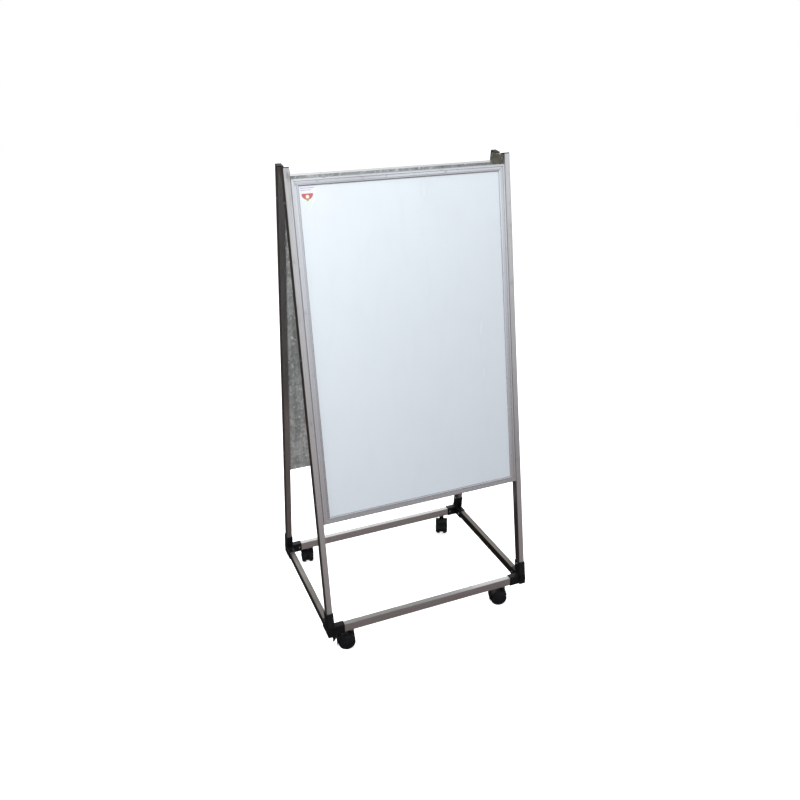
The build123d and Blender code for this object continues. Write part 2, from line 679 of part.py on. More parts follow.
# ---- caster stems, and the threaded inserts that hold them in the rails
with BuildPart() as caster_stems:
    for side, face in CORNERS:
        base = caster_plane(side, face)
        with BuildSketch(base.offset(JOURNAL_BOTTOM + JOURNAL_GAP)):
            Circle(JOURNAL_R)
        extrude(amount=COLLAR_BOTTOM - JOURNAL_BOTTOM - JOURNAL_GAP)
        with BuildSketch(base.offset(COLLAR_BOTTOM)):
            RegularPolygon(radius=COLLAR_FLATS / 2, side_count=6, major_radius=False)
        extrude(amount=RAIL_BOTTOM_Z - INSERT_FLANGE - COLLAR_BOTTOM)
        with BuildSketch(base.offset(RAIL_BOTTOM_Z - INSERT_FLANGE)):
            Circle(STEM_R)
        extrude(amount=STEM_TOP - RAIL_BOTTOM_Z + INSERT_FLANGE)
keep(caster_stems, "caster_stems")

with BuildPart() as stem_inserts:
    for side, face in CORNERS:
        base = caster_plane(side, face)
        with BuildSketch(base.offset(RAIL_BOTTOM_Z - INSERT_FLANGE)):
            Circle(INSERT_FLANGE_R)
        extrude(amount=INSERT_FLANGE)
        with BuildSketch(base.offset(RAIL_BOTTOM_Z)):
            Circle(INSERT_R)
        extrude(amount=INSERT_TOP - RAIL_BOTTOM_Z)
        with BuildSketch(base.offset(RAIL_BOTTOM_Z - INSERT_FLANGE)):
            Circle(STEM_R + SOCKET_GAP)
        extrude(amount=INSERT_TOP - RAIL_BOTTOM_Z + INSERT_FLANGE, mode=Mode.SUBTRACT)
keep(stem_inserts, "stem_inserts")
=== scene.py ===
"""Rolling whiteboard: two boards on a leaning frame of tube, on four twin-wheel casters."""

import json
import logging
import math
from dataclasses import dataclass
from enum import Enum

import bmesh
import bpy
from mathutils import Euler, Matrix, Vector


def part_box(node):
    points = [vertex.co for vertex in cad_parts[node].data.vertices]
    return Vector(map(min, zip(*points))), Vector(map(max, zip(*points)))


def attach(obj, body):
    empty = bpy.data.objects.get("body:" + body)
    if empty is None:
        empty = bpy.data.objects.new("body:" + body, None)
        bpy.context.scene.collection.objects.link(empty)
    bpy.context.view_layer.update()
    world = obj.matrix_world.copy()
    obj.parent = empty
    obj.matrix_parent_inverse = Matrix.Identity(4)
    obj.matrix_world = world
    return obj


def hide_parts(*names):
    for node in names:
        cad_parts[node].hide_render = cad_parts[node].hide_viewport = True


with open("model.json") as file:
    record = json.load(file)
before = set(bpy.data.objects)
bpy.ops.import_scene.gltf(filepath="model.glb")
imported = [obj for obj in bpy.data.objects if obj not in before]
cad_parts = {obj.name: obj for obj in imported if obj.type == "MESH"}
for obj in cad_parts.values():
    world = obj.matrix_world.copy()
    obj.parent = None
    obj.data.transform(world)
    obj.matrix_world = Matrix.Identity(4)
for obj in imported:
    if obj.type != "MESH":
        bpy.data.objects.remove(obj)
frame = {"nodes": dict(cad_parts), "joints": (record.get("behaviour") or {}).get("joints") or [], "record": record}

LOG = logging.getLogger("whiteboard")
MM = 0.001
WELD = 0.004 * MM
FLAT_ANGLE = math.radians(0.6)
EDGE_ANGLE = math.radians(38)
QUARTER_TURN = 0.25
# How closely a face has to look backwards to count as a profile's back.
BACK_SHARE = 0.99
COAT_ROUGHNESS = 0.06
BEVEL_STEPS = 2
DISC_STEPS = 40
# The sockets of a Mix node that carry colour.
MIX_SHARE, MIX_A, MIX_B, MIX_RESULT = 0, 6, 7, 2
SENSOR_WIDTH = 36.0
Stops = tuple[tuple[float, tuple[float, float, float, float]], ...]


# ---- numbers and nodes
def linear(code: str) -> tuple[float, float, float, float]:
    """Turns an sRGB hex colour to linear.

    Args:
        code: six hex digits, with or without a hash.

    Returns:
        Red, green, blue and an alpha of 1.
    """
    digits = code.lstrip("#")
    parts = [int(digits[i : i + 2], 16) / 255 for i in (0, 2, 4)]
    red, green, blue = (p / 12.92 if p <= 0.04045 else ((p + 0.055) / 1.055) ** 2.4 for p in parts)
    return red, green, blue, 1.0


def add_node(
    tree: bpy.types.NodeTree,
    kind: str,
    settings: dict[str, object] | None = None,
    inputs: dict[str | int, object] | None = None,
    stops: Stops = (),
) -> bpy.types.Node:
    """Adds one node with its settings, values and links.

    Args:
        tree: the node tree that gets the node.
        kind: Blender's name for the node type.
        settings: the node's attributes, by name.
        inputs: a value, or an output socket to link from, by input name or number.
        stops: position and colour of each stop, for a node with a colour ramp.

    Returns:
        The new node.
    """
    node = tree.nodes.new(kind)
    for name, value in (settings or {}).items():
        setattr(node, name, value)
    for key, value in (inputs or {}).items():
        if isinstance(value, bpy.types.NodeSocket):
            tree.links.new(value, node.inputs[key])
        else:
            node.inputs[key].default_value = value
    for index, (position, colour) in enumerate(stops):
        ramp = node.color_ramp.elements
        stop = ramp[index] if index < len(ramp) else ramp.new(position)
        stop.position, stop.color = position, colour
    return node


def frame_lean() -> float:
    """Returns the angle between a board and the vertical, from the front board's mount."""
    mounts = {mount["name"]: mount for mount in frame["record"]["mounts"]}
    return math.asin(mounts["front_writing_surface"]["axis"][2])


LEAN = frame_lean()


# ---- finishes
class Grain(Enum):
    """The way a surface's lines run: the turn that brings Z to the length of the piece."""

    UPRIGHT = (0.0, 0.0, 0.0)
    ACROSS = (0.0, math.pi / 2, 0.0)
    DEEP = (math.pi / 2, 0.0, 0.0)
    FRONT_SLOPE = (-LEAN, 0.0, 0.0)
    REAR_SLOPE = (LEAN, 0.0, 0.0)


class Pattern(Enum):
    """The textures that a layer is drawn with."""

    CLOUD = "ShaderNodeTexNoise"
    CELLS = "ShaderNodeTexVoronoi"


@dataclass(frozen=True)
class Layer:
    """One layer of a surface: where it lies, and what it does there.

    Attributes:
        size: size of its marks, in mm.
        stretch: how many times longer the marks are along the grain.
        low: texture value at which the layer starts.
        high: texture value at which it is full.
        colour: its colour as sRGB hex, or empty.
        amount: how much of that colour shows where it is full.
        rough: what it adds to the roughness.
        bump: its height in mm.
        detail: how many finer octaves its noise has.
        swirl: how far its noise is distorted.
        pattern: its texture.
    """

    size: float
    stretch: float = 1.0
    low: float = 0.35
    high: float = 0.65
    colour: str = ""
    amount: float = 0.0
    rough: float = 0.0
    bump: float = 0.0
    detail: float = 3.0
    swirl: float = 0.0
    pattern: Pattern = Pattern.CLOUD

    def mask(
        self, tree: bpy.types.NodeTree, place: bpy.types.NodeSocket, grain: Grain
    ) -> bpy.types.NodeSocket:
        """Adds the layer's texture.

        Args:
            tree: the material's node tree.
            place: the object coordinates.
            grain: the way the marks run.

        Returns:
            A socket that is 0 where the layer is absent and 1 where it is full.
        """
        size = self.size * MM
        vector = add_node(
            tree,
            "ShaderNodeMapping",
            {"vector_type": "TEXTURE"},
            {"Vector": place, "Rotation": grain.value, "Scale": (size, size, size * self.stretch)},
        ).outputs["Vector"]
        if self.pattern is Pattern.CELLS:
            cells = add_node(tree, self.pattern.value, inputs={"Vector": vector, "Scale": 1.0})
            split = add_node(
                tree, "ShaderNodeSeparateColor", inputs={"Color": cells.outputs["Color"]}
            )
            value = split.outputs["Red"]
        else:
            values = {"Vector": vector, "Scale": 1.0}
            values |= {"Detail": self.detail, "Distortion": self.swirl}
            value = add_node(tree, self.pattern.value, inputs=values).outputs[0]
        limits = {"Value": value, "From Min": self.low, "From Max": self.high}
        smooth = {"interpolation_type": "SMOOTHSTEP"}
        return add_node(tree, "ShaderNodeMapRange", smooth, limits).outputs["Result"]


@dataclass(frozen=True)
class Finish:
    """A material and how its surface was made.

    Attributes:
        name: the material's name.
        colour: its main colour as sRGB hex.
        roughness: roughness where no layer changes it.
        metallic: 1 for bare metal.
        ior: index of refraction of a material that isn't metal.
        coat: weight of a clear skin over the surface.
        spread: how far fine lines along the grain spread a highlight across it.
        layers: its layers, from the bottom up.
    """

    name: str = "plain"
    colour: str = "808080"
    roughness: float = 0.5
    metallic: float = 0.0
    ior: float = 1.5
    coat: float = 0.0
    spread: float = 0.0
    layers: tuple[Layer, ...] = ()

    def material(self, grain: Grain = Grain.UPRIGHT) -> bpy.types.Material:
        """Makes the material for one direction of grain, or finds the one made before.

        Args:
            grain: the way the surface's lines run.

        Returns:
            The material.
        """
        name = f"{self.name}_{grain.name.lower()}"
        if name in bpy.data.materials:
            return bpy.data.materials[name]
        material = bpy.data.materials.new(name)
        material.use_nodes = True
        tree = material.node_tree
        tree.nodes.clear()
        place = add_node(tree, "ShaderNodeTexCoord").outputs["Object"]
        inputs: dict[str | int, object] = {
            "Base Color": linear(self.colour),
            "Roughness": self.roughness,
            "Metallic": self.metallic,
            "Coat Weight": self.coat,
            "Coat Roughness": COAT_ROUGHNESS,
        }
        if not self.metallic:
            inputs["IOR"] = self.ior
        if self.spread:
            along = Euler(grain.value).to_matrix() @ Vector((0, 0, 1))
            lines = add_node(tree, "ShaderNodeCombineXYZ", inputs=dict(zip("XYZ", along)))
            inputs["Tangent"] = lines.outputs["Vector"]
            inputs["Anisotropic"] = self.spread
            inputs["Anisotropic Rotation"] = QUARTER_TURN
        for layer in self.layers:
            mask = layer.mask(tree, place, grain)
            if layer.colour:
                share = add_node(
                    tree, "ShaderNodeMath", {"operation": "MULTIPLY"}, {0: mask, 1: layer.amount}
                )
                mixed = {
                    MIX_SHARE: share.outputs[0],
                    MIX_A: inputs["Base Color"],
                    MIX_B: linear(layer.colour),
                }
                mix = add_node(tree, "ShaderNodeMix", {"data_type": "RGBA"}, mixed)
                inputs["Base Color"] = mix.outputs[MIX_RESULT]
            if layer.rough:
                summed = {0: mask, 1: layer.rough, 2: inputs["Roughness"]}
                settings = {"operation": "MULTIPLY_ADD", "use_clamp": True}
                inputs["Roughness"] = add_node(tree, "ShaderNodeMath", settings, summed).outputs[0]
            if layer.bump:
                raised = {"Height": mask, "Distance": layer.bump * MM}
                if "Normal" in inputs:
                    raised["Normal"] = inputs["Normal"]
                inputs["Normal"] = add_node(tree, "ShaderNodeBump", inputs=raised).outputs["Normal"]
        shader = add_node(tree, "ShaderNodeBsdfPrincipled", inputs=inputs)
        add_node(tree, "ShaderNodeOutputMaterial", inputs={"Surface": shader.outputs[0]})
        return material


@dataclass(frozen=True)
class DrawnTube(Finish):
    """Aluminium tube, drawn and satin anodised."""

    # Drawing leaves fine lines along the length, so highlights stretch across the tube. The lines
    # are about 0.2 mm apart on a real tube, and 2 mm here so that they show.
    name: str = "anodised_aluminium_drawn"
    colour: str = "E6E5E5"
    roughness: float = 0.26
    metallic: float = 1.0
    spread: float = 0.35
    layers: tuple[Layer, ...] = (
        Layer(2.0, 180.0, 0.3, 0.7, "B9B8BB", 0.34, 0.07, 0.012, 2.0),
        Layer(0.7, 90.0, 0.4, 0.6, "FFFFFF", 0.1, 0.04, 0.006, 1.0),
        Layer(70.0, 3.0, 0.42, 0.7, "CFCAC6", 0.35, 0.05),
        Layer(14.0, 2.0, 0.58, 0.72, "A9A6A4", 0.22, 0.14, detail=5.0),
    )


@dataclass(frozen=True)
class ShadedTube(DrawnTube):
    """Aluminium tube, drawn and anodised like the rest, made darker as painted shade on the side rails."""

    # The side rails are the same tube with the same lines, in a darker bronze grey than the rest that is painted
    # shade.
    name: str = "anodised_aluminium_painted_shade"
    colour: str = "645D55"
    roughness: float = 0.32


@dataclass(frozen=True)
class ExtrudedProfile(Finish):
    """Aluminium section, extruded and satin anodised."""

    # The die leaves lines along the section, and the anodising a soft milky sheen.
    name: str = "anodised_aluminium_extruded"
    colour: str = "EFF1F5"
    roughness: float = 0.24
    metallic: float = 1.0
    spread: float = 0.2
    layers: tuple[Layer, ...] = (
        Layer(1.6, 220.0, 0.3, 0.7, "B4B5B9", 0.3, 0.06, 0.012, 2.0),
        Layer(60.0, 4.0, 0.42, 0.7, "D2D2D5", 0.25, 0.03),
        Layer(9.0, 2.0, 0.6, 0.72, "9FA0A2", 0.2, 0.15, detail=5.0),
    )


@dataclass(frozen=True)
class BakedEnamel(Finish):
    """Sheet steel with white enamel, baked on."""

    # A glossy cool white with a very slight ripple. Wiping leaves long faint smears that are less
    # glossy, and old ink leaves a grey ghost here and there.
    name: str = "enamel_baked_white"
    colour: str = "E0E9F1"
    roughness: float = 0.13
    ior: float = 1.52
    coat: float = 0.25
    layers: tuple[Layer, ...] = (
        Layer(4.0, 1.0, 0.3, 0.7, bump=0.006, detail=1.0),
        Layer(34.0, 4.0, 0.46, 0.76, "CBD5DE", 0.09, 0.14, detail=4.0, swirl=0.8),
        Layer(170.0, 1.0, 0.45, 0.75, "D5DCE2", 0.14, 0.05, detail=3.0, swirl=0.4),
        Layer(3.0, 1.0, 0.7, 0.76, "AEB7BF", 0.3, 0.1, detail=2.0),
    )


@dataclass(frozen=True)
class GalvanisedSheet(Finish):
    """Sheet steel, hot dip galvanised."""

    # The zinc freezes in flat crystals about 8 mm across, dulls in dark clouds where it was wet
    # longest, and leaves raised beads where it dripped; their white is a painted highlight.
    name: str = "steel_galvanised_spangled"
    colour: str = "D6D9D9"
    roughness: float = 0.34
    metallic: float = 0.25
    layers: tuple[Layer, ...] = (
        Layer(8.0, 1.2, 0.0, 1.0, "949A9D", 0.6, 0.14, 0.01, pattern=Pattern.CELLS),
        Layer(24.0, 6.0, 0.44, 0.68, "6F7476", 0.4, 0.1, detail=3.0, swirl=0.8),
        Layer(90.0, 1.5, 0.44, 0.62, "8A8F91", 0.5, 0.1, detail=5.0, swirl=0.6),
        # Raised drip beads, coloured white as painted highlights.
        Layer(7.0, 1.6, 0.57, 0.66, "FFFFFF", 0.65, -0.1, 0.05, 4.0, 0.8),
    )


@dataclass(frozen=True)
class FibreBoard(Finish):
    """Fibreboard, pressed and left raw."""

    # Short matted fibres in two browns, with no shine.
    name: str = "fibreboard_pressed_raw"
    colour: str = "9A7B55"
    roughness: float = 0.85
    layers: tuple[Layer, ...] = (
        Layer(2.2, 3.0, 0.35, 0.65, "6E5336", 0.6, 0.05, 0.08, 4.0),
        Layer(20.0, 1.0, 0.4, 0.7, "B39468", 0.4),
    )


@dataclass(frozen=True)
class MouldedFitting(Finish):
    """ABS, moulded in a spark-eroded tool."""

    # A near-black plastic with a fine pebble of about 0.6 mm, drawn at 1.4 mm so that it shows,
    # and a paler bloom where hands and floor dust have rubbed it.
    name: str = "abs_moulded_textured"
    colour: str = "090A0C"
    roughness: float = 0.3
    ior: float = 1.4
    layers: tuple[Layer, ...] = (
        Layer(1.4, 1.0, 0.3, 0.7, "16181B", 0.5, 0.08, 0.05, 2.0),
        Layer(16.0, 1.0, 0.5, 0.72, "1E2022", 0.5, 0.12, detail=5.0),
        Layer(5.0, 2.0, 0.62, 0.74, "2E2F30", 0.35, 0.15, detail=6.0),
    )


@dataclass(frozen=True)
class MouldedCap(Finish):
    """Polyethylene, moulded."""

    # Waxy black with a soft sheen and light handling marks.
    name: str = "polyethylene_moulded"
    colour: str = "131416"
    roughness: float = 0.45
    ior: float = 1.4
    layers: tuple[Layer, ...] = (
        Layer(1.2, 1.0, 0.3, 0.7, "1B1D1F", 0.4, 0.06, 0.03, 2.0),
        Layer(6.0, 1.0, 0.58, 0.72, "303234", 0.4, 0.14, detail=5.0),
    )


@dataclass(frozen=True)
class MouldedHood(Finish):
    """Nylon with a fine grain, moulded."""

    # Satin black, with grey dust in patches.
    name: str = "nylon_moulded_grained"
    colour: str = "090A0D"
    roughness: float = 0.32
    ior: float = 1.4
    layers: tuple[Layer, ...] = (
        Layer(1.0, 1.0, 0.3, 0.7, "17191D", 0.5, 0.1, 0.03, 2.0),
        Layer(9.0, 1.0, 0.52, 0.72, "26282A", 0.4, 0.16, detail=6.0),
    )


@dataclass(frozen=True)
class RolledNylon(Finish):
    """Nylon wheel, moulded and worn by the floor."""

    # Black, with dull scuffs and dust that the floor leaves on the tread.
    name: str = "nylon_moulded_worn"
    colour: str = "0B0C10"
    roughness: float = 0.34
    ior: float = 1.4
    layers: tuple[Layer, ...] = (
        Layer(1.6, 1.0, 0.3, 0.7, "191B20", 0.5, 0.08, 0.04, 3.0),
        Layer(7.0, 1.0, 0.5, 0.7, "2A2928", 0.45, 0.2, detail=6.0),
        Layer(2.4, 3.0, 0.64, 0.72, "3B3833", 0.5, 0.2, detail=4.0),
    )


@dataclass(frozen=True)
class ZincPlate(Finish):
    """Steel, turned or formed, zinc plated."""

    # A bright grey-white metal with a slight cloudy bloom.
    name: str = "steel_zinc_plated"
    colour: str = "CDD0D4"
    roughness: float = 0.26
    metallic: float = 1.0
    layers: tuple[Layer, ...] = (
        Layer(1.5, 6.0, 0.35, 0.65, "9FA3A8", 0.4, 0.1, 0.01, 2.0),
        Layer(5.0, 1.0, 0.5, 0.7, "8D8C86", 0.35, 0.16, detail=5.0),
    )


@dataclass(frozen=True)
class ShadedPlate(Finish):
    """Steel strip, cut, in a dark olive-grey that is painted shade."""

    # A dull green-grey with brush-sized clouds and a slight metallic glint. The dark green-grey is painted shade,
    # the colour of the shaded post faces between the post tops.
    name: str = "steel_plate_painted_shade"
    colour: str = "7B796C"
    roughness: float = 0.42
    metallic: float = 0.55
    layers: tuple[Layer, ...] = (
        Layer(1.2, 1.0, 0.3, 0.7, "5E5C51", 0.5, 0.1, 0.03, 3.0),
        Layer(10.0, 2.0, 0.42, 0.68, "97958A", 0.45, 0.1, detail=5.0),
    )


@dataclass(frozen=True)
class CoatedCard(Finish):
    """Card, printed and coated."""

    # A cool white card with a faint mottle and a low sheen.
    name: str = "card_coated_white"
    colour: str = "E9EEF3"
    roughness: float = 0.42
    ior: float = 1.46
    layers: tuple[Layer, ...] = (
        Layer(1.5, 1.0, 0.35, 0.65, "E0E2EA", 0.4, 0.05, 0.01, 3.0),
        Layer(14.0, 1.0, 0.4, 0.7, "E6EBE8", 0.35),
    )


@dataclass(frozen=True)
class PrintedInk(Finish):
    """Ink, printed on coated card with a coarse dot."""

    # Slightly uneven ink: the card shows between the dots.
    name: str = "ink_printed"
    roughness: float = 0.38
    ior: float = 1.46

    @classmethod
    def of(cls, name: str, colour: str, paler: str) -> "PrintedInk":
        """Makes one ink.

        Args:
            name: what the ink prints.
            colour: its colour as sRGB hex.
            paler: its colour where it lies thin.

        Returns:
            The finish.
        """
        dots = Layer(1.3, 1.0, 0.35, 0.68, paler, 0.6, 0.06, 0.0, 3.0)
        return cls(name=f"ink_printed_{name}", colour=colour, layers=(dots,))


# ---- making pieces
def dress(piece: bpy.types.Object, material: bpy.types.Material) -> None:
    """Puts a material in every slot of a piece.

    Args:
        piece: the piece or CAD node.
        material: its material.
    """
    if not piece.material_slots:
        piece.data.materials.append(material)
    for place in piece.material_slots:
        place.material = material


def dress_node(node: str, finish: Finish, grain: Grain = Grain.UPRIGHT) -> None:
    """Gives a CAD node that stays its finish.

    Args:
        node: the node's name.
        finish: its finish.
        grain: the way the surface's lines run.
    """
    dress(frame["nodes"][node], finish.material(grain))
    LOG.info("%s stays, in %s", node, finish.name)


def set_piece(
    name: str,
    shape: bmesh.types.BMesh,
    body: str,
    materials: list[bpy.types.Material],
    nodes: tuple[str, ...] = (),
) -> bpy.types.Object:
    """Makes an object of a finished shape and sets it on its body.

    Args:
        name: the piece's name.
        shape: its shape in place, which is freed.
        body: the CAD body it moves with.
        materials: its materials, by the faces' material numbers.
        nodes: the CAD nodes it stands for.

    Returns:
        The piece.
    """
    mesh = bpy.data.meshes.new(name)
    for face in shape.faces:
        face.smooth = True
    shape.to_mesh(mesh)
    shape.free()
    stale = mesh.attributes.get("custom_normal")
    if stale:
        mesh.attributes.remove(stale)
    mesh.materials.clear()
    for material in materials:
        mesh.materials.append(material)
    mesh.set_sharp_from_angle(angle=EDGE_ANGLE)
    piece = bpy.data.objects.new(name, mesh)
    bpy.context.scene.collection.objects.link(piece)
    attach(piece, body)
    if nodes:
        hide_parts(*nodes)
    LOG.info("%s on %s, %d faces", name, body, len(mesh.polygons))
    return piece


def soften(
    node: str, body: str, material: bpy.types.Material, radius: float
) -> bpy.types.Object:
    """Copies a CAD node with its hard edges rounded, and hides the node.

    Args:
        node: the node's name.
        body: the CAD body it belongs to.
        material: the copy's material.
        radius: radius of the rounded edges, in mm.

    Returns:
        The piece that stands for the node.
    """
    shape = bmesh.new()
    shape.from_mesh(frame["nodes"][node].data)
    bmesh.ops.remove_doubles(shape, verts=shape.verts, dist=WELD)
    bmesh.ops.dissolve_limit(
        shape, angle_limit=FLAT_ANGLE, verts=shape.verts, edges=shape.edges
    )
    for face in shape.faces:
        face.material_index = 0
    piece = set_piece(f"{node}_finished", shape, body, [material], (node,))
    rounding = piece.modifiers.new("rounded_edges", "BEVEL")
    rounding.width = radius * MM
    rounding.segments = BEVEL_STEPS
    rounding.limit_method = "ANGLE"
    rounding.angle_limit = EDGE_ANGLE
    rounding.use_clamp_overlap = True
    rounding.harden_normals = True
    return piece


class Side(Enum):
    """Left or right, seen from the front."""

    LEFT = "left"
    RIGHT = "right"


class Face(Enum):
    """Front or rear half of the frame."""

    FRONT = "front"
    REAR = "rear"

    @property
    def slope(self) -> Grain:
        """The grain of a piece that leans with this half."""
        return Grain.FRONT_SLOPE if self is Face.FRONT else Grain.REAR_SLOPE


@dataclass
class TubeFrame:
    """The fixed frame: posts, rails, connectors, caps and bridge plates.

    Attributes:
        connector_radius: rounding of a connector's edges, in mm.
        cap_radius: rounding of a cap's edges, in mm.
        plate_radius: rounding of a bridge plate's edges, in mm.
        body: the CAD body that carries all of it.
    """

    connector_radius: float = 0.9
    cap_radius: float = 0.5
    plate_radius: float = 0.35
    body: str = "frame"

    def build(self) -> None:
        """Builds and dresses the whole frame."""
        self.build_rails()
        for face in Face:
            for side in Side:
                self.build_corner(side, face)
        self.build_plates()
        self.build_hardware()

    def build_rails(self) -> None:
        """Dresses the four base rails."""
        for face in Face:
            dress_node(f"{face.value}_rail", DrawnTube(), Grain.ACROSS)
        for side in Side:
            # The side rails take the darker copy of the tube, which is painted shade.
            dress_node(f"{side.value}_rail", ShadedTube(), Grain.DEEP)

    def build_corner(self, side: Side, face: Face) -> None:
        """Builds a post's connector and cap, and dresses the post.

        Args:
            side: the post's side.
            face: the post's half.
        """
        corner = f"{face.value}_{side.value}"
        dress_node(f"{corner}_post", DrawnTube(), face.slope)
        fitting = MouldedFitting().material()
        node = f"{corner}_corner_connector"
        soften(node, self.body, fitting, self.connector_radius)
        cap = MouldedCap().material()
        soften(f"{corner}_post_cap", self.body, cap, self.cap_radius)

    def build_plates(self) -> None:
        """Builds the two plates that join the post tops."""
        # The plates' dark olive-grey is painted shade.
        plate_shade = ShadedPlate().material(Grain.DEEP)
        for side in Side:
            node = f"{side.value}_bridge_plate"
            soften(node, self.body, plate_shade, self.plate_radius)

    def build_hardware(self) -> None:
        """Dresses the screws, stems and inserts."""
        for node in ("board_screws", "bridge_screws", "connector_screws", "caster_stems"):
            dress_node(node, ZincPlate())
        dress_node("stem_inserts", MouldedCap())


class Mark(Enum):
    """The shapes that are printed on the label."""

    LINE = "line"
    TAIL = "tail"
    BOWL = "bowl"
    SPOT = "spot"


@dataclass
class Label:
    """The card label on the front board, printed with plain generic shapes.

    Attributes:
        card: thickness of the card, in mm.
        sink: how far each print is set into the card, in mm.
        film: height of the print over the card, in mm.
        lines: left end, length, height down the card and thickness of each printed line, in mm.
        bowl: centre across, height down and radius of the half-round picture, in mm.
        middle: centre across, height down and radius of the pale spot in it, in mm.
        leaf: centre across, height down and radius of the round spot, in mm.
        stem: top width, bottom width, top and length of the pale tail, in mm.
    """

    card: float = 0.15
    sink: float = 0.05
    film: float = 0.04
    lines: tuple[tuple[float, float, float, float], ...] = (
        (1.5, 36.0, 4.0, 1.8),
        (1.5, 28.0, 9.0, 1.5),
    )
    bowl: tuple[float, float, float] = (19.5, 17.5, 15.5)
    middle: tuple[float, float, float] = (19.5, 25.5, 4.6)
    leaf: tuple[float, float, float] = (19.5, 33.0, 3.2)
    stem: tuple[float, float, float, float] = (20.0, 6.0, 35.0, 20.0)

    def place(self) -> Matrix:
        """Returns the turn and place of the card: X across, Y up the slope, Z off its face."""
        low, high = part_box("front_board_label")
        cos, sin = math.cos(LEAN), math.sin(LEAN)
        origin = Vector((low.x, high.y - self.card * MM * cos, high.z))
        turn = Matrix(((1, 0, 0), (0, sin, -cos), (0, cos, sin)))
        return Matrix.Translation(origin) @ turn.to_4x4()

    def raise_print(
        self, shape: bmesh.types.BMesh, faces: list[bmesh.types.BMFace], level: int
    ) -> None:
        """Gives flat faces the thickness of a print and its level over the card.

        Args:
            shape: the mesh.
            faces: the new flat faces.
            level: 1 for a print on the card, 2 for one on another print.
        """
        height = (self.sink + self.film * level) * MM
        lifted = bmesh.ops.extrude_face_region(shape, geom=faces)["geom"]
        points = [part for part in lifted if isinstance(part, bmesh.types.BMVert)]
        bmesh.ops.translate(shape, verts=points, vec=(0, 0, height))
        base = list({point for face in faces for point in face.verts} | set(points))
        bmesh.ops.translate(shape, verts=base, vec=(0, 0, -self.sink * MM))

    def print_line(self, shape: bmesh.types.BMesh, line: tuple[float, float, float, float]) -> None:
        """Prints one straight line.

        Args:
            shape: the mesh.
            line: left end, length, height down the card and thickness, in mm.
        """
        left, length, down, thick = line
        size = Matrix.Diagonal((length * MM, thick * MM, 1, 1))
        spot = Matrix.Translation(((left + length / 2) * MM, -down * MM, 0))
        made = bmesh.ops.create_grid(
            shape, x_segments=1, y_segments=1, size=0.5, matrix=spot @ size
        )
        self.raise_print(shape, list({f for v in made["verts"] for f in v.link_faces}), 1)

    def print_disc(
        self, shape: bmesh.types.BMesh, disc: tuple[float, float, float], half: bool, level: int
    ) -> None:
        """Prints a disc, or its lower half.

        Args:
            shape: the mesh.
            disc: centre across, height down and radius, in mm.
            half: whether only the lower half is printed.
            level: level of the print.
        """
        across, down, radius = (value * MM for value in disc)
        spot = Matrix.Translation((across, -down, 0))
        made = bmesh.ops.create_circle(
            shape, cap_ends=True, segments=DISC_STEPS, radius=radius, matrix=spot
        )
        points = made["verts"]
        if half:
            geometry = list({part for v in points for part in (v, *v.link_edges, *v.link_faces)})
            cut = bmesh.ops.bisect_plane(
                shape,
                geom=geometry,
                plane_co=(across, -down, 0),
                plane_no=(0, 1, 0),
                clear_outer=True,
            )
            points = [part for part in cut["geom"] if isinstance(part, bmesh.types.BMVert)]
        self.raise_print(shape, list({f for v in points for f in v.link_faces}), level)

    def print_tail(self, shape: bmesh.types.BMesh) -> None:
        """Prints the pale tail, which narrows downwards.

        Args:
            shape: the mesh.
        """
        top, bottom, down, length = (value * MM for value in self.stem)
        centre = self.leaf[0] * MM
        size = Matrix.Diagonal((top, length, 1, 1))
        spot = Matrix.Translation((centre, -down - length / 2, 0))
        made = bmesh.ops.create_grid(
            shape, x_segments=1, y_segments=1, size=0.5, matrix=spot @ size
        )
        for point in made["verts"]:
            if point.co.y < -down - length / 2:
                point.co.x = centre + (point.co.x - centre) * bottom / top
        self.raise_print(shape, list({f for v in made["verts"] for f in v.link_faces}), 1)

    def print_sheet(
        self, name: str, ink: Finish, draw: list[tuple[Mark, tuple[float, ...]]]
    ) -> None:
        """Prints the shapes of one ink as one piece.

        Args:
            name: the piece's name.
            ink: its finish.
            draw: the kind and the sizes of each shape.
        """
        shape = bmesh.new()
        for kind, sizes in draw:
            if kind is Mark.LINE:
                self.print_line(shape, sizes)
            elif kind is Mark.TAIL:
                self.print_tail(shape)
            else:
                half = kind is Mark.BOWL
                self.print_disc(shape, sizes, half, 1 if half else 2)
        bmesh.ops.recalc_face_normals(shape, faces=shape.faces)
        bmesh.ops.transform(shape, matrix=self.place(), verts=shape.verts)
        set_piece(name, shape, "frame", [ink.material(Grain.FRONT_SLOPE)])

    def build(self) -> None:
        """Dresses the card and prints its generic lines and picture."""
        dress_node("front_board_label", CoatedCard(), Grain.FRONT_SLOPE)
        words = PrintedInk.of("lilac", "A9A0C0", "CFC9DD")
        rim = PrintedInk.of("red", "B85A58", "D99C98")
        middle = PrintedInk.of("cream", "F0E6DE", "F3EFEC")
        spot = PrintedInk.of("green", "7F9C74", "A9BC9C")
        tail = PrintedInk.of("pale_green", "DCE9E0", "E6F0EA")
        self.print_sheet("label_print_lines", words, [(Mark.LINE, line) for line in self.lines])
        self.print_sheet("label_print_tail", tail, [(Mark.TAIL, ())])
        self.print_sheet("label_print_rim", rim, [(Mark.BOWL, self.bowl)])
        self.print_sheet("label_print_middle", middle, [(Mark.SPOT, self.middle)])
        self.print_sheet("label_print_spot", spot, [(Mark.SPOT, self.leaf)])


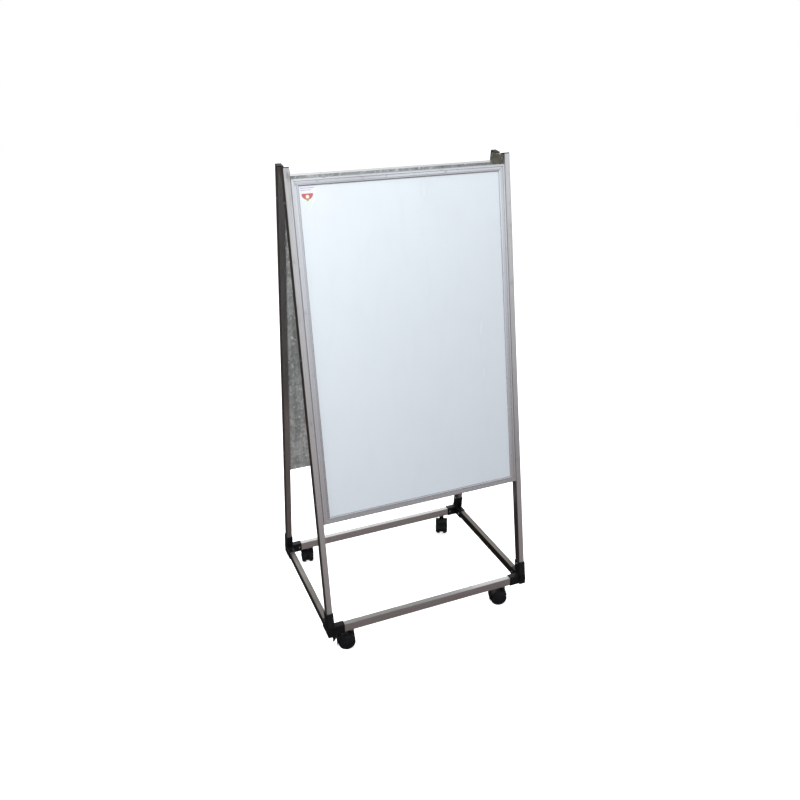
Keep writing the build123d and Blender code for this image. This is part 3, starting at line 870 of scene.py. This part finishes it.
@dataclass
class Board:
    """One board: enamelled sheet, core and galvanised back in an aluminium frame.

    Attributes:
        face: the half of the frame that it fills.
        edge_radius: rounding of the profiles' edges, in mm.
        body: the CAD body that carries it.
    """

    face: Face
    edge_radius: float = 0.4
    body: str = "frame"

    def build(self) -> None:
        """Builds the profiles and dresses the layers."""
        slope = self.face.slope
        board = f"{self.face.value}_board"
        for edge in ("bottom", "top", "left", "right"):
            grain = Grain.ACROSS if edge in ("bottom", "top") else slope
            section = ExtrudedProfile().material(grain)
            node = f"{board}_{edge}_profile"
            piece = soften(node, self.body, section, self.edge_radius)
            self.line_back(piece)
        dress_node(f"{board}_writing_sheet", BakedEnamel(), slope)
        dress_node(f"{board}_core", FibreBoard(), slope)
        dress_node(f"{board}_backing_sheet", GalvanisedSheet(), slope)
        dress_node(f"{board}_corner_keys", ZincPlate(), slope)
        if self.face is Face.FRONT:
            Label().build()


    def line_back(self, piece: bpy.types.Object) -> None:
        """Covers a profile's back with the zinc of the sheet that is folded over it.

        Args:
            piece: the finished profile.
        """
        piece.data.materials.append(GalvanisedSheet().material(self.face.slope))
        turn = 1 if self.face is Face.FRONT else -1
        back = Vector((0, turn * math.cos(LEAN), -math.sin(LEAN)))
        for face in piece.data.polygons:
            if face.normal.dot(back) > BACK_SHARE:
                face.material_index = 1


@dataclass
class Caster:
    """A twin-wheel caster: hood, axle, two wheels and, on some, a brake lever.

    Attributes:
        side: its side of the frame.
        face: its half of the frame.
        braked: whether it has a brake lever.
        wheel_inner: distance of a wheel's inner face from the middle of the hood, in mm.
        steps: number of steps round a wheel.
        section: radius and height of each corner of a wheel's section, from the end of its
            bore round the rim to the middle of its outer face, in mm.
        hood_radius: rounding of the hood's edges, in mm.
        lever_radius: rounding of the lever's edges, in mm.
    """

    side: Side
    face: Face
    braked: bool = False
    wheel_inner: float = 5.4
    steps: int = 96
    section: tuple[tuple[float, float], ...] = (
        (0.0, 12.8),
        (3.05, 12.8),
        (3.05, 0.0),
        (8.8, 0.0),
        (9.2, 0.3),
        (10.9, 2.8),
        (11.4, 3.0),
        (16.6, 3.0),
        (17.1, 2.8),
        (18.8, 0.3),
        (19.2, 0.0),
        (24.0, 0.0),
        (24.7, 0.3),
        (25.0, 1.0),
        (25.0, 3.4),
        (24.6, 3.6),
        (24.6, 4.2),
        (25.0, 4.4),
        (25.0, 7.3),
        (24.8, 9.0),
        (24.1, 10.5),
        (23.1, 11.9),
        (21.8, 12.9),
        (20.2, 13.6),
        (18.5, 13.8),
        (17.9, 13.8),
        (17.6, 13.3),
        (16.8, 13.3),
        (16.5, 14.0),
        (12.0, 14.5),
        (8.4, 14.9),
        (8.1, 14.3),
        (7.3, 14.3),
        (7.0, 15.0),
        (4.0, 15.4),
        (0.0, 15.8),
    )
    hood_radius: float = 0.35
    lever_radius: float = 0.3

    @property
    def corner(self) -> str:
        """The start of the names of this caster's nodes and bodies."""
        return f"{self.face.value}_{self.side.value}"

    def wheel_place(self, hand: str) -> Matrix:
        """Returns the turn and place of a wheel, with Z out along the axle.

        Args:
            hand: a or b.
        """
        name = f"{self.corner}_wheel_{hand}_roll"
        joint = next(joint for joint in frame["joints"] if joint["name"] == name)
        hub, axle = Vector(joint["pos_m"]), Vector(joint["axis"]).normalized()
        low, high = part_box(f"{self.corner}_caster_wheel_{hand}")
        outward = axle if ((low + high) / 2 - hub).dot(axle) > 0 else -axle
        up = Vector((0, 0, 1))
        turn = Matrix((up.cross(outward), up, outward)).transposed()
        start = hub + outward * self.wheel_inner * MM
        return Matrix.Translation(start) @ turn.to_4x4()

    def build_wheel(self, hand: str) -> None:
        """Spins one wheel round its axle.

        Args:
            hand: a or b.
        """
        shape = bmesh.new()
        points = [shape.verts.new((r * MM, 0, height * MM)) for r, height in self.section]
        edges = [shape.edges.new(pair) for pair in zip(points, points[1:])]
        bmesh.ops.spin(
            shape,
            geom=points + edges,
            cent=(0, 0, 0),
            axis=(0, 0, 1),
            dvec=(0, 0, 0),
            angle=math.tau,
            steps=self.steps,
            use_merge=True,
            use_normal_flip=False,
            use_duplicate=False,
        )
        bmesh.ops.remove_doubles(shape, verts=shape.verts, dist=WELD)
        bmesh.ops.transform(shape, matrix=self.wheel_place(hand), verts=shape.verts)
        bmesh.ops.recalc_face_normals(shape, faces=shape.faces)
        set_piece(
            f"{self.corner}_wheel_{hand}_finished",
            shape,
            f"{self.corner}_wheel_{hand}",
            [RolledNylon().material()],
            (f"{self.corner}_caster_wheel_{hand}",),
        )

    def build(self) -> None:
        """Builds the caster's hood, wheels and lever, and dresses its axle."""
        hood = MouldedHood().material()
        node = f"{self.corner}_caster_hood"
        soften(node, f"{self.corner}_caster", hood, self.hood_radius)
        dress_node(f"{self.corner}_caster_axle", ZincPlate())
        for hand in ("a", "b"):
            self.build_wheel(hand)
        if self.braked:
            node = f"{self.corner}_brake_lever"
            soften(node, f"{self.corner}_brake", hood, self.lever_radius)
            dress_node(f"{self.corner}_brake_lever_pin", ZincPlate())


# ---- studio
@dataclass(frozen=True)
class Lamp:
    """One soft area light.

    Attributes:
        name: its name.
        place: where it stands, in metres.
        size: its width and height, in metres.
        power: its power in watts.
        colour: its colour as sRGB hex.
    """

    name: str
    place: tuple[float, float, float]
    size: tuple[float, float]
    power: float
    colour: str = "FFFFFF"

    def build(self, target: Vector) -> None:
        """Hangs the lamp.

        Args:
            target: the point it is turned to.
        """
        light = bpy.data.lights.new(self.name, "AREA")
        light.shape = "RECTANGLE"
        light.size, light.size_y = self.size
        light.energy = self.power
        light.color = linear(self.colour)[:3]
        lamp = bpy.data.objects.new(self.name, light)
        lamp.location = self.place
        lamp.rotation_euler = (target - lamp.location).to_track_quat("-Z", "Y").to_euler()
        lamp.visible_glossy = False
        bpy.context.scene.collection.objects.link(lamp)


@dataclass
class Studio:
    """Floor, backdrop, light and camera.

    Attributes:
        target: the point that the camera looks at.
        distance: from the camera to that point, in metres.
        azimuth: the way the camera looks, from +Y towards +X, in degrees.
        elevation: how far above the horizon it stands, in degrees.
        roll: how far it is turned about its line of sight, in degrees.
        lens: focal length in mm.
        shift: shift of the picture.
        floor_radius: radius of the floor, in metres.
        floor_glow: how strongly the floor glows, so that it stays as pale as the backdrop.
        backdrop_scale: radius of the backdrop, in floor radii.
        front: colours in front of the board, from straight down (0) to straight up (1).
        back: colours behind it, in the same way.
        sides: brightness from the left (0) to the right (1).
        back_from: direction along Y at which the colours behind begin.
        back_to: direction along Y at which they are full.
        lamps: the area lights.
    """

    target: tuple[float, float, float] = (-0.007, 0.017, 0.758)
    distance: float = 2.35
    azimuth: float = 22.15
    elevation: float = 21.47
    roll: float = -0.755
    lens: float = 36.07
    shift: tuple[float, float] = (0.0070, -0.0454)
    floor_radius: float = 14.0
    floor_glow: float = 0.75
    backdrop_scale: float = 1.02
    front: Stops = (
        (0.12, (0.10, 0.08, 0.075, 1)),
        (0.31, (0.26, 0.22, 0.21, 1)),
        (0.41, (0.42, 0.395, 0.40, 1)),
        (0.49, (0.68, 0.69, 0.72, 1)),
        (0.56, (1.25, 1.29, 1.33, 1)),
        (0.62, (1.1, 1.14, 1.18, 1)),
        (0.7, (0.24, 0.25, 0.265, 1)),
    )
    back: Stops = (
        (0.12, (0.025, 0.022, 0.02, 1)),
        (0.35, (0.05, 0.04, 0.034, 1)),
        (0.5, (0.06, 0.055, 0.052, 1)),
        (0.54, (0.13, 0.13, 0.125, 1)),
        (0.6, (0.62, 0.62, 0.61, 1)),
        (0.66, (1.0, 1.0, 0.99, 1)),
        (0.95, (1.1, 1.1, 1.1, 1)),
    )
    sides: tuple[tuple[float, float], ...] = ((0.1, 0.2), (0.45, 1.0), (0.62, 1.0), (0.78, 0.72))
    back_from: float = -0.1
    back_to: float = 0.55
    lamps: tuple[Lamp, ...] = (
        Lamp("key", (-1.25, -1.7, 2.6), (1.3, 1.0), 56.0, "FFFDFA"),
        Lamp("top", (0.3, 0.2, 3.4), (2.6, 2.6), 50.0),
        Lamp("rear_fill", (1.2, 2.9, 2.4), (2.2, 1.6), 34.0),
        Lamp("left_fill", (-2.4, -0.1, 0.9), (1.2, 1.6), 40.0),
    )

    def build(self) -> None:
        """Builds the whole studio."""
        self.build_world()
        self.build_floor()
        for lamp in self.lamps:
            lamp.build(Vector(self.target))
        self.build_camera()
        bpy.context.scene.view_settings.view_transform = "Standard"

    def build_world(self) -> None:
        """Lights the scene from all round, like a room with its light on the front left.

        In front it is bright at the horizon and warm and dark below, and behind it is dark up to
        a little over the horizon. The far left is the darkest side.
        """
        world = bpy.data.worlds.new("studio")
        bpy.context.scene.world = world
        world.use_nodes = True
        tree = world.node_tree
        tree.nodes.clear()
        way = add_node(tree, "ShaderNodeTexCoord").outputs["Generated"]
        split = add_node(tree, "ShaderNodeSeparateXYZ", inputs={"Vector": way})
        height = add_node(
            tree, "ShaderNodeMapRange", inputs={"Value": split.outputs["Z"], "From Min": -1.0}
        )
        ramps = [
            add_node(tree, "ShaderNodeValToRGB", inputs={0: height.outputs[0]}, stops=stops)
            for stops in (self.front, self.back)
        ]
        share = add_node(
            tree,
            "ShaderNodeMapRange",
            {"interpolation_type": "SMOOTHSTEP"},
            {
                "Value": split.outputs["Y"],
                "From Min": self.back_from,
                "From Max": self.back_to,
            },
        )
        colours = {
            MIX_SHARE: share.outputs[0],
            MIX_A: ramps[0].outputs["Color"],
            MIX_B: ramps[1].outputs["Color"],
        }
        mix = add_node(tree, "ShaderNodeMix", {"data_type": "RGBA"}, colours)
        across = add_node(
            tree, "ShaderNodeMapRange", inputs={"Value": split.outputs["X"], "From Min": -1.0}
        )
        grey = tuple((position, (level,) * 4) for position, level in self.sides)
        dimming = add_node(
            tree, "ShaderNodeValToRGB", inputs={0: across.outputs[0]}, stops=grey
        )
        glow = {"Color": mix.outputs[MIX_RESULT], "Strength": dimming.outputs["Color"]}
        light = add_node(tree, "ShaderNodeBackground", inputs=glow)
        add_node(tree, "ShaderNodeOutputWorld", inputs={"Surface": light.outputs[0]})

    def build_floor(self) -> None:
        """Lays a pale floor and closes it with a plain white backdrop."""
        shape = bmesh.new()
        bmesh.ops.create_circle(shape, cap_ends=True, segments=96, radius=self.floor_radius)
        floor_finish = Finish(
            name="floor_painted_pale",
            colour="F7F7F7",
            roughness=0.7,
            layers=(Layer(300.0, 1.0, 0.3, 0.7, "F2F2F3", 0.4, 0.05),),
        )
        material = floor_finish.material()
        shader = next(n for n in material.node_tree.nodes if n.type == "BSDF_PRINCIPLED")
        shader.inputs["Emission Color"].default_value = (1, 1, 1, 1)
        shader.inputs["Emission Strength"].default_value = self.floor_glow
        floor = self.set_stage("floor", shape, material)
        floor.visible_diffuse = False
        shape = bmesh.new()
        bmesh.ops.create_uvsphere(
            shape,
            u_segments=64,
            v_segments=32,
            radius=self.floor_radius * self.backdrop_scale,
        )
        bmesh.ops.reverse_faces(shape, faces=shape.faces)
        paper = bpy.data.materials.new("backdrop_white")
        paper.use_nodes = True
        paper.node_tree.nodes.clear()
        glow = add_node(paper.node_tree, "ShaderNodeEmission", inputs={"Color": (1, 1, 1, 1)})
        add_node(paper.node_tree, "ShaderNodeOutputMaterial", inputs={"Surface": glow.outputs[0]})
        backdrop = self.set_stage("backdrop", shape, paper)
        backdrop.visible_diffuse = False
        backdrop.visible_shadow = False

    def set_stage(
        self, name: str, shape: bmesh.types.BMesh, material: bpy.types.Material
    ) -> bpy.types.Object:
        """Makes an object of the studio that no reflection shows.

        Args:
            name: its name.
            shape: its shape, which is freed.
            material: its material.

        Returns:
            The object.
        """
        mesh = bpy.data.meshes.new(name)
        shape.to_mesh(mesh)
        shape.free()
        mesh.materials.append(material)
        thing = bpy.data.objects.new(name, mesh)
        bpy.context.scene.collection.objects.link(thing)
        thing.visible_glossy = False
        return thing

    def build_camera(self) -> None:
        """Stands the camera and makes it the scene's."""
        turn, rise, roll = (math.radians(a) for a in (self.azimuth, self.elevation, self.roll))
        forward = Vector(
            (math.sin(turn) * math.cos(rise), math.cos(turn) * math.cos(rise), -math.sin(rise))
        )
        level = Vector((math.cos(turn), -math.sin(turn), 0))
        upright = level.cross(forward)
        right = level * math.cos(roll) + upright * math.sin(roll)
        up = upright * math.cos(roll) - level * math.sin(roll)
        data = bpy.data.cameras.new("camera")
        data.lens, data.sensor_width = self.lens, SENSOR_WIDTH
        data.shift_x, data.shift_y = self.shift
        camera = bpy.data.objects.new("camera", data)
        place = Vector(self.target) - forward * self.distance
        camera.matrix_world = (
            Matrix.Translation(place) @ Matrix((right, up, -forward)).transposed().to_4x4()
        )
        bpy.context.scene.collection.objects.link(camera)
        bpy.context.scene.camera = camera


def main() -> None:
    """Builds the whiteboard and its studio."""
    logging.basicConfig(level=logging.INFO, format="%(message)s")
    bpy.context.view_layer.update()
    TubeFrame().build()
    for face in Face:
        Board(face).build()
    for face in Face:
        for side in Side:
            Caster(side, face, braked=side is Side.LEFT).build()
    Studio().build()


if __name__ == "__main__":
    main()
